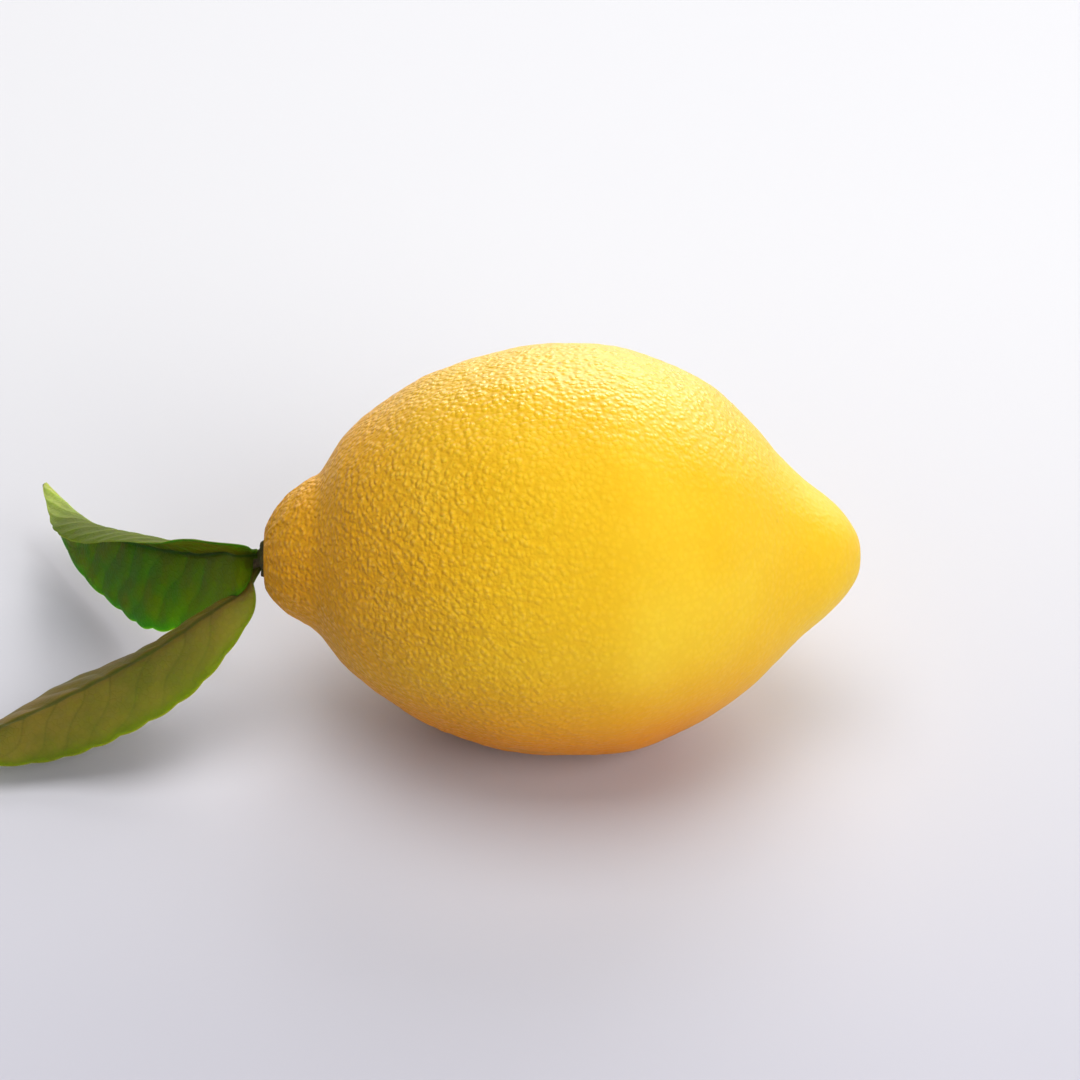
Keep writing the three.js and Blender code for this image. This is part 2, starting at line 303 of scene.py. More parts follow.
def closed_surface(name, grid, material, attributes=None, uv=None):
    """A mesh object from a grid of points in millimetres that closes round its
    columns. The poles are the means of the end rows. attributes holds one value for
    each grid point, and uv two; a pole takes its row's mean."""
    rows, columns = grid.shape[:2]

    def with_poles(values):
        poles = values[[0, -1]].mean(axis=1).reshape(2, -1)
        return np.concatenate([values.reshape(rows * columns, -1), poles])

    places = with_poles(grid) * MM
    mesh = bpy.data.meshes.new(name)
    mesh.from_pydata(places.tolist(), [], tube_faces(rows, columns))
    for key, values in (attributes or {}).items():
        layer = mesh.attributes.new(key, "FLOAT", "POINT")
        layer.data.foreach_set("value", with_poles(values[..., None]).ravel())
    if uv is not None:
        corners = np.empty(len(mesh.loops), dtype=np.int64)
        mesh.loops.foreach_get("vertex_index", corners)
        mesh.uv_layers.new(name="UVMap").data.foreach_set("uv", with_poles(uv)[corners].ravel())
    face_outwards(mesh)
    mesh.shade_smooth()
    mesh.materials.append(material)
    piece = bpy.data.objects.new(name, mesh)
    bpy.context.scene.collection.objects.link(piece)
    return piece


def face_outwards(mesh):
    """Turns the faces round if the volume that they close comes out negative."""
    work = bmesh.new()
    work.from_mesh(mesh)
    if work.calc_volume(signed=True) < 0:
        bmesh.ops.reverse_faces(work, faces=work.faces)
        work.to_mesh(mesh)
    work.free()


# The rind

def rind_profile(count):
    """Place along the axis and radius, evenly spaced from end to end."""
    profile = through(OUTLINE, count, UNIFORM)
    return profile[:, 0], np.maximum(profile[:, 1], 0)


def rind_points(rows, columns, sizes):
    """The outline turned about the long axis. To the radius are added low lobes that
    fade towards the ends, the fold behind the neck, furrows that run out from the
    stem's seat, and the grain. The centre line sinks at both ends. The underside is
    held over the surface by the smooth maximum (z + sqrt(z² + k²)) / 2."""
    along, radius = rind_profile(rows + 2)
    step = np.hypot(np.diff(along), np.diff(radius)).mean()
    along, radius = along[1:-1, None], radius[1:-1, None]
    angle = np.linspace(0, 2 * np.pi, columns, endpoint=False)[None, :]
    across, up = np.cos(angle), np.sin(angle)
    swell = sum(height * np.cos(count * angle + turn) for count, height, turn in LOBES)
    towards_back = across * UPPER_BACK[0] + up * UPPER_BACK[1]
    side = FOLD_ALL_ROUND + (1 - FOLD_ALL_ROUND) * np.maximum(0, towards_back)
    crease = CREASE_DEPTH * ridge(along - CREASE_PLACE, CREASE_WIDTH) * side
    grown = radius + radius / WIDEST * swell - crease
    furrowed = (1 - smoothstep(*FURROWS_END, along)) * smoothstep(*FURROWS_BEGIN, radius)
    furrows = np.cos(FURROW_PAIRS * angle + FURROW_TURN) ** 2
    grown = grown - sizes.furrow_depth / MM * furrowed * furrows
    rng = np.random.default_rng(sizes.seed)
    rough = pebbled(along, grown * towards_back)
    bumps = grain(rng, rows, columns, step, radius[:, 0], GRAIN_SIZE)
    swells = grain(rng, rows, columns, step, radius[:, 0], SWELL_SIZE)
    relief = sizes.pebble_height / MM * bumps * rough + sizes.swell_height / MM * swells
    grown = grown + smoothstep(*GRAIN_RADII, radius) * relief
    droop = -NIPPLE_DROOP * smoothstep(NIPPLE_FROM, NIPPLE_TO, along)
    droop = droop - NECK_DROOP * np.maximum(0, (-along - NECK_FROM) / (NECK_END - NECK_FROM)) ** 2
    y = grown * across
    z = grown * up + AXIS_HEIGHT + droop
    soft = sizes.rest_softness / MM
    z = (z + np.sqrt(z**2 + soft**2)) / 2
    seat = SEAT_FLOOR - SEAT_DISH * smoothstep(0.0, SEAT_RADIUS, radius) ** 3
    x = np.where(along < 0, np.maximum(along, seat), along) + 0 * angle
    return np.stack([x, y, z], axis=-1)


def pebbled(along, up_back):
    """How far the skin's grain stands out: strongly on the stem half and over the
    upper back, faintly towards the smooth nipple."""
    left = 1 - smoothstep(*GRAIN_STEM_HALF, along)
    over = smoothstep(*GRAIN_BACK, up_back) * (1 - smoothstep(*GRAIN_NIPPLE, along))
    return LEAST_GRAIN + (1 - LEAST_GRAIN) * np.maximum(left, over)


# The leaves

def leaf_frame(leaf, rows):
    """The rib's points, and at each the way that the near half leaves it and the way
    out of the face: the first square to the rib, the second square to both."""
    rib = through(leaf["rib"], rows, CENTRIPETAL)
    tangent = np.gradient(rib, axis=0)
    tangent /= np.linalg.norm(tangent, axis=1, keepdims=True)
    near_side = np.array(leaf["near_side"], float)
    across = near_side - (tangent @ near_side)[:, None] * tangent
    across /= np.linalg.norm(across, axis=1, keepdims=True)
    return rib, across, np.cross(tangent, across)


def leaf_loop(half):
    """The loop round a leaf's section: over the upper face from the far margin to the
    near one, and back under the lower face. Returns the reach, from -1 to 1 and
    denser by the margins, and 1 on the upper face and -1 on the lower one."""
    line = np.linspace(-1, 1, half)
    line = (1 - MARGIN_CROWDING) * line + MARGIN_CROWDING * np.sin(line * np.pi / 2)
    signed = np.concatenate([line, line[::-1]])[None, :]
    upper = np.concatenate([np.ones(half), -np.ones(half)])[None, :]
    return signed, upper


def leaf_width(leaf, share, far):
    """Width of one half: the stalk's, and from its end a full sine arch with round
    teeth. Under 1, the arch's power makes it fuller."""
    blade = np.clip((share - leaf["stalk_share"]) / (1 - leaf["stalk_share"]), 0, 1)
    arch = np.sin(np.pi * blade**WIDEST_PLACE).clip(0)
    tooth = 1 - TOOTH_DEPTH * (1 - np.abs(np.sin(np.pi * TEETH * blade)))
    stalk = STALK_HALF_WIDTH * (1 - STALK_TAPER * share)
    widest = leaf["half_width"] * np.where(far, stations(leaf["far_share"], share), 1)
    base = leaf["base_fullness"]
    fullness = base + (FULLNESS - base) * smoothstep(0, BASE_REACH, blade)
    return np.hypot(stalk, widest * arch**fullness * tooth)


def leaf_section(leaf, share, reach, far, width):
    """Places on a leaf's middle surface, across and out from the rib, and the way
    each faces. A half leaves the rib at its own angle and bends along an arc, whose
    chord is its length times sin(bend / 2) over bend / 2. Near the rib the facing
    turns to the crest between both halves."""
    fold = np.radians(np.where(far, stations(leaf["fold"], share), 0))
    curl = np.radians(np.where(far, -stations(leaf["far_curl"], share), leaf["near_curl"]))
    bend = curl * reach
    chord = width * reach * np.sinc(bend / (2 * np.pi))
    heading, facing = fold + bend / 2, fold + bend
    place = np.stack([np.cos(heading) * chord, np.sin(heading) * chord], axis=-1)
    turn = np.where(far, -1.0, 1.0)
    normal = np.stack([-turn * np.sin(facing), turn * np.cos(facing)], axis=-1)
    far_fold = np.radians(stations(leaf["fold"], share))
    crest = np.stack([np.sin(far_fold), 1 - np.cos(far_fold)], axis=-1)
    crest /= np.linalg.norm(crest, axis=-1, keepdims=True)
    blend = ridge(width * reach, RIB_HALF_WIDTH)[..., None]
    normal = normal * (1 - blend) + crest * blend
    return place, normal / np.linalg.norm(normal, axis=-1, keepdims=True)


def vein_field(share, reach, far, sizes):
    """Side veins: where the share along the rib, less a lean towards the tip that
    grows with the reach, times their number is whole. Returns how near a point is to
    a vein, from 0 to 1, and the swell between two veins."""
    lean = VEIN_LEAN[0] * reach + VEIN_LEAN[1] * reach**2
    wander = sum(
        height * np.sin(by_share * share + by_reach * reach + by_half * far)
        for height, by_share, by_reach, by_half in VEIN_WANDER
    )
    phase = (share - lean) * sizes.vein_count + wander + FAR_HALF_STEP * far
    near = np.abs(phase - np.round(phase))
    width = VEIN_WIDTH[0] + VEIN_WIDTH[1] * reach
    fade = smoothstep(*VEINS_FROM_RIB, reach) * (1 - smoothstep(*VEINS_TO_MARGIN, reach))
    fade = fade * smoothstep(*VEINS_FROM_BASE, share - lean)
    vein = ridge(near, width) * (1 - VEIN_FADE * reach) * fade
    swell = np.sin(np.pi * np.clip(near * 2, 0, 1) / 2) ** 2 * fade
    return vein, swell


def leaf_offset(leaf, share, reach, far, upper, from_rib, vein, swell, sizes):
    """How far a point of either face lies out from the leaf's middle surface. The
    thickness closes at the margins as the fourth root of one minus the reach to the
    twelfth. The rib swells, mostly below, with a groove over it. The blade waves
    along its margins and rises between its veins, which are sunk into the upper
    face and stand out of the lower one."""
    above = RIB_ABOVE_AT_STALK * (1 - smoothstep(*RIB_SINKS, share)) + RIB_ABOVE
    rib = RIB_SWELL * ridge(from_rib, RIB_HALF_WIDTH) * (1 - RIB_TAPER * share)
    body = BLADE_THICK + (BLADE_EDGE_THICK - BLADE_THICK) * reach**2
    thick = (body / 2 + np.where(upper > 0, above, 1.0) * rib) * (1 - reach**12).clip(0) ** 0.25
    waves = np.sin(2 * np.pi * leaf["waves"] * share + np.where(far, -1.0, 1.0))
    wave = leaf["wave"] * waves * reach**2 * np.sin(np.pi * share)
    groove = sizes.rib_groove / MM * ridge(from_rib, GROOVE_HALF_WIDTH) * smoothstep(*GROOVE_BEGINS, share)
    sunk = sizes.vein_depth / MM * vein
    relief = wave + sizes.vein_swell / MM * swell - np.where(upper > 0, groove + sunk, VEINS_BELOW * sunk)
    return relief + upper * thick


def leaf_points(leaf, rows, half, sizes):
    """The section's loop carried along the rib, each point set out from the middle
    surface along its facing. Returns the grid, the marks that the material reads and
    the UV map, which is the share along the rib and the reach across."""
    rib, across, out = leaf_frame(leaf, rows)
    signed, upper = leaf_loop(half)
    share = np.linspace(0, 1, rows)[:, None]
    far, reach = signed < 0, np.abs(signed)
    width = leaf_width(leaf, share, far)
    from_rib = width * reach
    vein, swell = vein_field(share, reach, far, sizes)
    place, normal = leaf_section(leaf, share, reach, far, width)
    offset = leaf_offset(leaf, share, reach, far, upper, from_rib, vein, swell, sizes)
    section = place + offset[..., None] * normal
    grid = rib[:, None] + section[..., :1] * across[:, None] + section[..., 1:] * out[:, None]
    everywhere = 0 * share * signed
    marks = {
        "vein": vein,
        "rib": ridge(from_rib, RIB_MARK_HALF_WIDTH) + everywhere,
        "underside": np.where(upper > 0, 0.0, 1.0) + everywhere,
        "edge": reach**6 + everywhere,
        "stalk": 1 - smoothstep(*STALK_ENDS, share) + everywhere,
        "tipward": share + everywhere,
    }
    uv = np.stack([share + everywhere, 0.5 + 0.5 * signed + everywhere], axis=-1)
    return grid, marks, uv


# The stem

def stem_points(rows, columns, sizes):
    """A profile turned about the stem's own axis: across the button's back, over its
    rim, in to the stub, along it and over its cut end. The button's radius has five
    round lobes and the stub's has bark ridges that run along it. Above the button
    the axis leans down by a steady angle."""
    height = BUTTON_THICK / 2 + STUB_LENGTH
    line = through(STEM_PROFILE * (BUTTON_RADIUS, height / STEM_TOP), rows, CENTRIPETAL)
    out, up = line[:, :1], line[:, 1:]
    angle = np.linspace(0, 2 * np.pi, columns, endpoint=False)[None, :]
    ring = out / BUTTON_RADIUS
    on_button = 1 - smoothstep(*BUTTON_ENDS, up)
    lobed = smoothstep(*RIM_SHARE, ring) * on_button
    lobe = np.cos(BUTTON_LOBES * angle)
    rim = BUTTON_LOBE * lobe + BUTTON_RIPPLE * np.cos(BUTTON_RIPPLES * angle + RIPPLE_TURN)
    rng = np.random.default_rng(sizes.seed + STEM_SEED_STEP)
    step = float(np.linalg.norm(np.diff(line, axis=0), axis=1).mean())
    knots = grain(rng, rows, columns, step, out[:, 0], KNOT_SIZE)
    ridges = sum(np.cos(count * angle + turn) for count, turn in BARK_RIDGES) / len(BARK_RIDGES)
    bark = BARK_RIDGE * ridges * (1 - on_button) + KNOT_HEIGHT * knots
    full = out + rim * lobed + bark * smoothstep(*BARK_RADII, out)
    lift = up + BUTTON_LIFT * lobed * lobe * smoothstep(*RIM_LIFTS, up)
    y = full * np.sin(angle)
    side = full * np.cos(angle)
    lean = STUB_LEAN * smoothstep(*LEAN_GROWS, up)
    x = -(lift * np.cos(lean) + side * np.sin(lean) * smoothstep(*SECTION_TURNS, up))
    z = -(lift * np.sin(lean)) + side
    seat = np.array((SEAT_FLOOR - GAP, 0, neck_height()))
    cut = smoothstep(CUT_BEGINS / STEM_TOP, 1.0, up / up.max()) * (1 - smoothstep(*CUT_SHARE, ring))
    marks = {"cut": cut + 0 * angle, "button": on_button + 0 * angle, "ring": ring + 0 * angle}
    return np.stack([x, y, z], axis=-1) + seat, marks


def neck_height():
    """Height of the neck's end: the axis less the droop there."""
    share = (-SEAT_FLOOR - NECK_FROM) / (NECK_END - NECK_FROM)
    return AXIS_HEIGHT - NECK_DROOP * share**2


# Materials

class Wire:
    """A node's output that Python's operators join to others with Math nodes."""

    def __init__(self, paint, socket):
        self.paint = paint
        self.socket = socket

    def math(self, operation, *others, first=None):
        values = [self if first is None else first, *others]
        return self.paint.node("ShaderNodeMath", {"operation": operation}, dict(enumerate(values)))

    def __add__(self, other):
        return self.math("ADD", other)

    def __sub__(self, other):
        return self.math("SUBTRACT", other)

    def __mul__(self, other):
        return self.math("MULTIPLY", other)

    def __truediv__(self, other):
        return self.math("DIVIDE", other)

    def __pow__(self, other):
        return self.math("POWER", other)

    def __rsub__(self, other):
        return self.math("SUBTRACT", self, first=other)

    __radd__ = __add__
    __rmul__ = __mul__

    def at_least(self, other):
        return self.math("MAXIMUM", other)

    def at_most(self, other):
        return self.math("MINIMUM", other)

    def ramp(self, low, high):
        """A smooth step from 0 at low to 1 at high. As numbers, low may be the
        larger; either may be a wire."""
        if isinstance(low, Wire) or low < high:
            return self.paint.node("ShaderNodeMapRange", {"interpolation_type": "SMOOTHSTEP"}, {
                "Value": self, "From Min": low, "From Max": high,
            })
        return 1 - self.ramp(high, low)


class Paint:
    """A material's node tree, with one method that adds any node."""

    def __init__(self, name):
        self.material = bpy.data.materials.new(name)
        self.material.use_nodes = True
        self.tree = self.material.node_tree
        self.tree.nodes.clear()
        self.coordinates = self.node("ShaderNodeTexCoord", output="Object")

    def node(self, kind, settings=None, inputs=None, output=0):
        """Adds a node, sets it, then fills or links its inputs, and returns one
        output."""
        node = self.tree.nodes.new(kind)
        for key, value in (settings or {}).items():
            setattr(node, key, value)
        for key, value in (inputs or {}).items():
            self.fill(node.inputs[key], value)
        return Wire(self, node.outputs[output]) if len(node.outputs) else None

    def fill(self, socket, value):
        if isinstance(value, Wire):
            self.tree.links.new(value.socket, socket)
        else:
            socket.default_value = value

    def noise(self, size, detail=3.0, shift=0.0):
        """Noise whose features are size metres across, from 0 to 1."""
        moved = self.node("ShaderNodeVectorMath", {"operation": "ADD"}, {
            0: self.coordinates, 1: (shift, shift, shift),
        })
        return self.node("ShaderNodeTexNoise", {}, {
            "Vector": moved, "Scale": 1 / size, "Detail": detail, "Roughness": NOISE_ROUGHNESS,
        })

    def cells(self, size, feature="F1", output="Distance", where=None, smooth=0.0):
        """Cells about size metres apart: the distance to the nearest one's middle in
        cells, or its colour."""
        inputs = {"Vector": where or self.coordinates, "Scale": 1 / size}
        if feature == "SMOOTH_F1":
            inputs["Smoothness"] = smooth
        return self.node("ShaderNodeTexVoronoi", {"feature": feature}, inputs, output)

    def attribute(self, name):
        return self.node("ShaderNodeAttribute", {"attribute_name": name}, output="Fac")

    def axes(self):
        """The object's own x, y and z, in metres."""
        node = self.node("ShaderNodeSeparateXYZ", {}, {"Vector": self.coordinates}).socket.node
        return [Wire(self, socket) for socket in node.outputs]

    def mix(self, share, first, second):
        """The first colour where share is 0 and the second where it is 1."""
        node = self.tree.nodes.new("ShaderNodeMix")
        node.data_type = "RGBA"
        self.fill(node.inputs[0], share)
        ends = [s for s in node.inputs if s.type == "RGBA"]
        for socket, colour in zip(ends, (first, second)):
            self.fill(socket, colour if isinstance(colour, Wire) else (*colour[:3], 1))
        return Wire(self, next(s for s in node.outputs if s.type == "RGBA"))

    def bump(self, height, distance, below=None):
        """A surface normal from a height of 0 to 1 that stands distance metres, laid
        over the normal below if there is one."""
        inputs = {"Distance": distance, "Height": height, "Strength": 1.0}
        if below is not None:
            inputs["Normal"] = below
        return self.node("ShaderNodeBump", {}, inputs)

    def finish(self, colour, roughness, normal, **constants):
        """The Principled shader: colour, roughness and normal may be wires, and the
        rest are numbers or colours set on its own sockets."""
        inputs = {"Base Color": colour, "Roughness": roughness, "Normal": normal}
        inputs.update({name.replace("_", " "): value for name, value in constants.items()})
        shader = self.node("ShaderNodeBsdfPrincipled", {}, inputs)
        self.node("ShaderNodeOutputMaterial", {}, {"Surface": shader})
        return self.material


def rind_material(colours, sizes):
    """Waxy skin over close round pebbles, with a painted sheen on their tops and
    painted shade in the hollows between them. The underside and the stem half carry
    painted shade and warm bounce light as a deeper, warmer yellow, and the wax is
    thickest over the pebbled upper back. There are a few brown specks, three rubs and
    the nipple's scar."""
    paint = Paint("lemon_rind")
    x, y, z = paint.axes()
    up_back = y * float(UPPER_BACK[0]) + (z - AXIS_HEIGHT * MM) * float(UPPER_BACK[1])
    over = up_back.ramp(*PEBBLES_BACK) * x.ramp(*PEBBLES_BACK_X)
    rough_skin = pebble_strength(x, over)
    dome, small = pebble_domes(paint, sizes.pore_spacing)
    patchy = 0.55 + 0.9 * paint.noise(PATCH_SIZE, 2.0)
    pebbles = (dome * (0.7 + 0.2 * over) + small * (0.3 - 0.15 * over)) * rough_skin * patchy
    dents = paint.noise(DENT_SIZE, 2.0, shift=3.1)
    scar = scar_mask(paint, x, y, z)
    normal = paint.bump(pebbles + dents * 0.35 - scar, sizes.pebble_relief)
    normal = paint.bump(paint.noise(SKIN_GRAIN_SIZE, 2.0), sizes.skin_relief, below=normal)

    # Painted shade in the hollows between the pebbles; the same mask also roughens them
    shaded_hollow = (1 - dome).ramp(0.35, 0.95) * rough_skin
    # Painted sheen on the pebbles' tops
    crown_sheen = dome.ramp(0.6, 1.0) * rough_skin
    speck = speck_mask(paint)
    belt = paint.noise(BELT_SIZE, 2.0, shift=1.7).ramp(0.35, 0.68)
    layers = (
        # painted shade and warm bounce light on the underside and the neck end
        (painted_shade_mask(x, y, z), colours.skin_painted_shade),
        # painted shade in the hollows
        (shaded_hollow * 0.4, colours.shaded_hollow),
        # painted sheen on the pebbles' tops
        (crown_sheen * 0.28, colours.crown_sheen),
        (speck, colours.speck),
        (scar * 0.8, colours.speck),
        (rub_mask(paint, x, y, z), colours.rub),
    )
    colour = paint.mix(belt, colours.skin, colours.skin_pale)
    for share, tint in layers:
        colour = paint.mix(share, colour, tint)

    wax = over * (0.10 + 0.24 * dome.ramp(0.45, 0.95))
    roughness = 0.44 - wax + 0.12 * paint.noise(WAX_SIZE) + 0.1 * shaded_hollow + 0.2 * speck
    return paint.finish(
        colour, roughness, normal,
        Specular_IOR_Level=0.25,
        Subsurface_Weight=0.22, Subsurface_Radius=(1.0, 0.55, 0.12), Subsurface_Scale=0.0022,
    )


def pebble_strength(x, over):
    """How strongly the pebbles stand out: fully on the stem half, about half as much
    over the upper back, and faintly towards the nipple."""
    faint, full, over_back, less_there = 0.18, 0.82, 0.42, 0.6
    stem_half = x.ramp(*PEBBLES_X) * (1 - less_there * over)
    return faint + full * stem_half.at_least(over * over_back)


def pebble_domes(paint, spacing):
    """Round pebbles and smaller ones among them, each 1 at its middle. Their places
    are nudged by noise so that no two have quite the same outline."""
    waves_per_metre, nudge = 900.0, 0.00025
    warp = paint.node("ShaderNodeTexNoise", {}, {
        "Vector": paint.coordinates, "Scale": waves_per_metre, "Detail": 1.0,
    }, "Color")
    nudged = paint.node("ShaderNodeVectorMath", {"operation": "MULTIPLY_ADD"}, {
        0: warp, 1: (nudge, nudge, nudge), 2: paint.coordinates,
    })
    dome = 1 - paint.cells(spacing, "SMOOTH_F1", smooth=0.2, where=nudged).ramp(0.05, 0.8)
    small = 1 - paint.cells(spacing * 0.6, where=nudged).ramp(0.1, 0.9)
    return dome, small


def painted_shade_mask(x, y, z):
    """Painted shade and warm bounce light: a deeper yellow on the underside, strongest in front, and on
    the neck end.
    """
    below = z.ramp(*SHADE_BELOW_Z) * x.ramp(*SHADE_BELOW_X) * (0.4 + 0.6 * y.ramp(*SHADE_BELOW_Y))
    return (below * 0.9).at_least(x.ramp(*SHADE_NECK_X) * 0.57)


def speck_mask(paint):
    """Tiny dark specks: the middles of about one wide-set cell in five."""
    chance = paint.cells(SPECK_SPACING, output="Color")
    pick = paint.node("ShaderNodeSeparateColor", {}, {"Color": chance}, "Red").ramp(0.80, 0.84)
    radius = 0.03 + 0.035 * paint.noise(SPECK_RAGGED, 2.0)
    inside = 1 - paint.cells(SPECK_SPACING).ramp(radius * 0.7, radius * 1.6)
    return inside * pick * 0.75


def scar_mask(paint, x, y, z):
    """The dry scar of the flower's style: a ragged dot at the nipple's tip."""
    from_tip = (y ** 2.0 + (z - (AXIS_HEIGHT - NIPPLE_DROOP) * MM) ** 2.0) ** 0.5
    ragged = from_tip + 0.0012 * paint.noise(SCAR_RAGGED, shift=5.3)
    return ragged.ramp(*SCAR_RADIUS) * x.ramp(*SCAR_X)


def rub_mask(paint, x, y, z):
    """Three faint rubs, each a soft ellipsoid: a scuff low on the front, a short
    scratch on the front of the stem half, and a brush mark by the nipple."""
    total = None
    for (cx, cy, cz), (rx, ry, rz), strength in RUBS:
        far = ((x - cx) / rx) ** 2.0 + ((y - cy) / ry) ** 2.0 + ((z - cz) / rz) ** 2.0
        mask = (1 - far.ramp(0.1, 1.3)) * strength
        total = mask if total is None else total.at_least(mask)
    return total * (0.35 + 0.9 * paint.noise(RUB_GRAIN_SIZE)).at_most(1.0)


def leaf_material(name, shades, coat, colours, sizes):
    """A waxy upper face, mottled between its sunk veins and deeper along the margin,
    with painted warm bounce light by the stalk, and a paler dull underside with
    painted shade towards the base and painted light that makes it palest near the
    tip. The veins and the faces come from the leaf's own attributes."""
    paint = Paint(name)
    face, mottle, rim, vein_colour = shades
    marks = ("vein", "rib", "underside", "edge", "stalk", "tipward")
    vein, rib, underside, edge, stalk, tipward = (paint.attribute(mark) for mark in marks)
    blotch = paint.noise(BLOTCH_SIZE).ramp(0.36, 0.66)
    fine = paint.noise(LEAF_GRAIN_SIZE, shift=2.2)
    net = 1 - paint.cells(NET_SIZE, "DISTANCE_TO_EDGE").ramp(0.0, 0.18)
    # Painted warm bounce light by the stalk, laid on in the mottle's colour
    bounce_by_stalk = tipward.ramp(0.42, 0.10)
    above = face
    for share, tint in (
        (blotch * 0.85, mottle),
        ((fine.ramp(0.35, 0.8) * 0.2).at_least(bounce_by_stalk * 0.85), mottle),
        (edge.ramp(0.05, 0.8) * 0.8, rim),
        (net * 0.10, vein_colour),
        (vein.ramp(0.2, 0.95) * 0.3, vein_colour),
        (rib.ramp(0.15, 0.9) * 0.85, vein_colour),
    ):
        above = paint.mix(share, above, tint)
    # Painted shade on the underside towards the base, painted light towards the tip
    below = paint.mix(tipward.ramp(0.70, 0.98), colours.underside_shaded, colours.underside)
    below = paint.mix(net * 0.15, below, vein_colour)
    below = paint.mix(vein.at_least(rib).ramp(0.2, 0.9) * 0.2, below, colours.underside)
    colour = paint.mix(stalk * 0.8, paint.mix(underside, above, below), vein_colour)
    roughness = 0.40 + 0.2 * underside + 0.1 * fine + 0.06 * blotch
    normal = paint.bump(net * 0.5 + fine * 0.5, sizes.net_relief)
    return paint.finish(
        colour, roughness, normal,
        Coat_Weight=coat * (1 - underside), Coat_Roughness=0.3, Specular_IOR_Level=0.035,
        Subsurface_Weight=0.8, Subsurface_Radius=(0.6, 1.0, 0.05), Subsurface_Scale=0.003,
    )


def stem_material(colours, sizes):
    """Green-brown bark on the stub, a greener button, and pale wood with a darker
    ring and pith on the cut end."""
    paint = Paint("lemon_stem")
    button, cut, ring = (paint.attribute(mark) for mark in ("button", "cut", "ring"))
    streak = paint.noise(STREAK_SIZE, 4.0)
    bark = paint.mix(streak.ramp(0.3, 0.7), colours.bark, colours.bark_dark)
    green = paint.mix(paint.noise(MOSS_SIZE, shift=4.0).ramp(0.3, 0.75), colours.button, colours.bark)
    wood = paint.mix(ring.ramp(0.10, 0.06), colours.wood, colours.pith)
    wood = paint.mix(ring.ramp(0.36, 0.42) * 0.7, wood, colours.bark_dark)
    colour = paint.mix(cut, paint.mix(button * 0.9, bark, green), wood)
    grit = paint.noise(GRIT_SIZE)
    normal = paint.bump(grit + streak * 0.6, sizes.bark_relief)
    return paint.finish(colour, 0.62 + 0.2 * grit, normal, Subsurface_Weight=0.05, Subsurface_Scale=0.0005)


# Settings

def length_property(name, description, default):
    return bpy.props.FloatProperty(
        name=name, description=description, default=default, unit="LENGTH", precision=5,
    )


def colour_property(name, description, default):
    return bpy.props.FloatVectorProperty(
        name=name, description=description, default=default, subtype="COLOR", size=3, min=0, max=1,
    )


class LemonSizes(bpy.types.PropertyGroup):
    """Sizes of the relief on the rind, the leaves and the stem."""
    pore_spacing: length_property("Pebble spacing", "From one pebble of the skin to the next", 0.00086)
    pebble_relief: length_property("Pebble relief", "Height of the shaded pebbles", 0.00037)
    skin_relief: length_property("Skin relief", "Height of the skin's finest grain", 0.000012)
    pebble_height: length_property("Pebble height", "Height of the modelled grain", 0.000035)
    swell_height: length_property("Swell height", "Height of the wide soft dents", 0.00007)
    furrow_depth: length_property("Furrow depth", "Depth of the furrows round the stem", 0.00035)
    rest_softness: length_property("Rest softness", "Rounding round the flat spot", 0.0004)
    vein_depth: length_property("Vein depth", "How far side veins are sunk into a leaf", 0.00006)
    vein_swell: length_property("Vein swell", "How far a leaf rises between its veins", 0.00016)
    rib_groove: length_property("Rib groove", "Depth of the groove over a leaf's rib", 0.00018)
    net_relief: length_property("Net relief", "Height of the fine net on a leaf", 0.00005)
    bark_relief: length_property("Bark relief", "Height of the shaded bark", 0.00008)
    vein_count: bpy.props.IntProperty(
        name="Veins", description="Side veins along a leaf", default=11, min=3,
    )
    seed: bpy.props.IntProperty(name="Seed", description="Start of the random draws", default=17)


